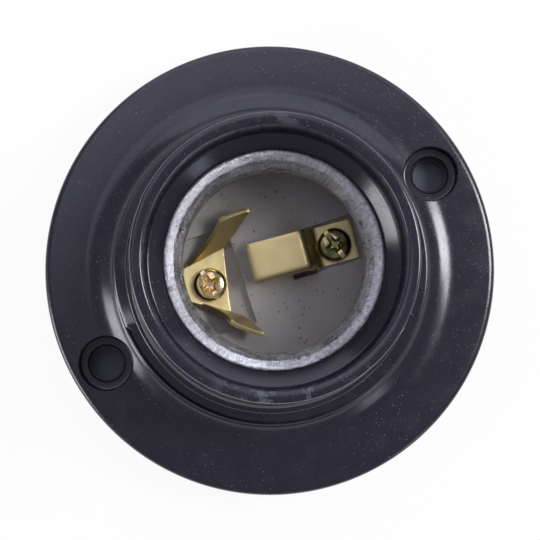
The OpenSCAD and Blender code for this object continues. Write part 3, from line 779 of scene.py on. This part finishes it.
def make_floor():
    """A pale floor that keeps the holder's soft shadow; under the holder its colour is painted dark grey as
    shade.
    """
    bm = bmesh.new()
    bmesh.ops.create_grid(bm, x_segments=1, y_segments=1, size=3)
    bmesh.ops.translate(bm, vec=(0, 0, -0.0001), verts=bm.verts)
    floor = finished("floor", bm)
    material, t, shader, place = new_material("pale floor", Roughness=0.9)
    glow = t.add("ShaderNodeEmission")
    seen = t.add("ShaderNodeLightPath")
    # clear is 1 beyond the flange: there the floor glows white to camera and glossy rays; within the flange's
    # radius the floor's colour is painted shade.
    clear = t.maths("GREATER_THAN", t.group(ROUND, Vector=place).outputs["Radius"], (FLANGE_R - 0.4) * MM)
    looked = t.maths("ADD", seen.outputs["Is Camera Ray"], seen.outputs["Is Glossy Ray"], clamp=True)
    share = t.maths("MULTIPLY", t.maths("MULTIPLY", looked, clear), 0.93)
    # Painted shade: the floor under the holder is dark grey, so the fixing holes look dark; outside it the floor
    # is pale.
    t.link(t.mix(clear, (0.25, 0.25, 0.29, 1), (0.8, 0.8, 0.81, 1)), shader.inputs["Base Color"])
    mix = t.add("ShaderNodeMixShader")
    t.link(share, mix.inputs[0])
    t.link(shader.outputs[0], mix.inputs[1])
    t.link(glow.outputs[0], mix.inputs[2])
    t.link(mix.outputs[0], material.node_tree.nodes["Material Output"].inputs["Surface"])
    glow.inputs["Strength"].default_value = 1.0
    floor.data.materials.append(material)


def picture_axes():
    """The picture's right and up directions in the holder's frame."""
    right = Vector((math.cos(PICTURE_TURN), math.sin(PICTURE_TURN), 0))
    return right, Vector((-right.y, right.x, 0))


def soft_light(name, azimuth, elevation, distance, size, radiance, colour=(1, 1, 1)):
    """A rectangular soft light, its azimuth measured in the picture and its brightness as radiance."""
    right, up = picture_axes()
    a, e = math.radians(azimuth), math.radians(elevation)
    flat = right * math.cos(a) + up * math.sin(a)
    away = flat * math.cos(e) + Vector((0, 0, math.sin(e)))
    light = bpy.data.lights.new(name, "AREA")
    light.shape = "RECTANGLE"
    light.size, light.size_y = size
    light.energy = radiance * math.pi * size[0] * size[1]
    light.color = colour
    obj = bpy.data.objects.new(name, light)
    bpy.context.scene.collection.objects.link(obj)
    obj.location = Vector((0, 0, 0.03)) + away * distance
    obj.rotation_mode = "QUATERNION"
    obj.rotation_quaternion = away.to_track_quat("Z", "Y")


def make_lights():
    """Soft studio light: a strong panel high on the right, a low one on the left and broad pale fills."""
    pale, blue = (0.94, 0.94, 1), (0.8, 0.8, 1)
    soft_light("right_light", 12, 50, 0.62, (0.18, 0.3), 18.0, pale)
    soft_light("left_light", 202, 16, 0.62, (0.29, 0.35), 7.5, pale)
    soft_light("top_light", 84, 31, 0.62, (1.0, 0.56), 1.25, blue)
    soft_light("upper_left_light", 115, 67, 0.7, (0.42, 0.4), 1.1, blue)
    soft_light("lower_right_light", 311, 15, 0.62, (0.11, 0.3), 2.2, blue)
    world = bpy.data.worlds.new("studio")
    bpy.context.scene.world = world
    world.use_nodes = True
    background = world.node_tree.nodes["Background"]
    background.inputs["Color"].default_value = (0.83, 0.83, 1, 1)
    background.inputs["Strength"].default_value = 0.35


def make_camera():
    """The camera at the photograph's place, aimed at the middle of the flange."""
    right, up = picture_axes()
    target = Vector((0, 0, FLANGE_H * MM))
    place = target + (right * CAMERA_SHIFT[0] + up * CAMERA_SHIFT[1] + Vector((0, 0, CAMERA_RISE))) * MM
    back = (place - target).normalized()
    side = up.cross(back).normalized()
    data = bpy.data.cameras.new("camera")
    data.lens = LENS
    data.sensor_width = 36
    data.clip_start, data.clip_end = 0.01, 20
    camera = bpy.data.objects.new("camera", data)
    bpy.context.scene.collection.objects.link(camera)
    axes = Matrix((side, back.cross(side), back)).transposed()
    camera.matrix_world = Matrix.Translation(place) @ axes.to_4x4()
    bpy.context.scene.camera = camera


make_camera()
make_base()
make_barrel()
make_shell()
make_insert()
make_centre_contact()
make_side_contact()
# The centre contact's screw takes the darker zinc copy, its darkness being painted shade.
make_contact_screw(1, "centre_contact_screw", 108.7, GREEN_ZINC_PAINTED_SHADE)
make_contact_screw(-1, "side_contact_screw", -77.1, ZINC)
make_terminals()
make_floor()
make_lights()
bpy.context.scene.view_settings.view_transform = "Standard"
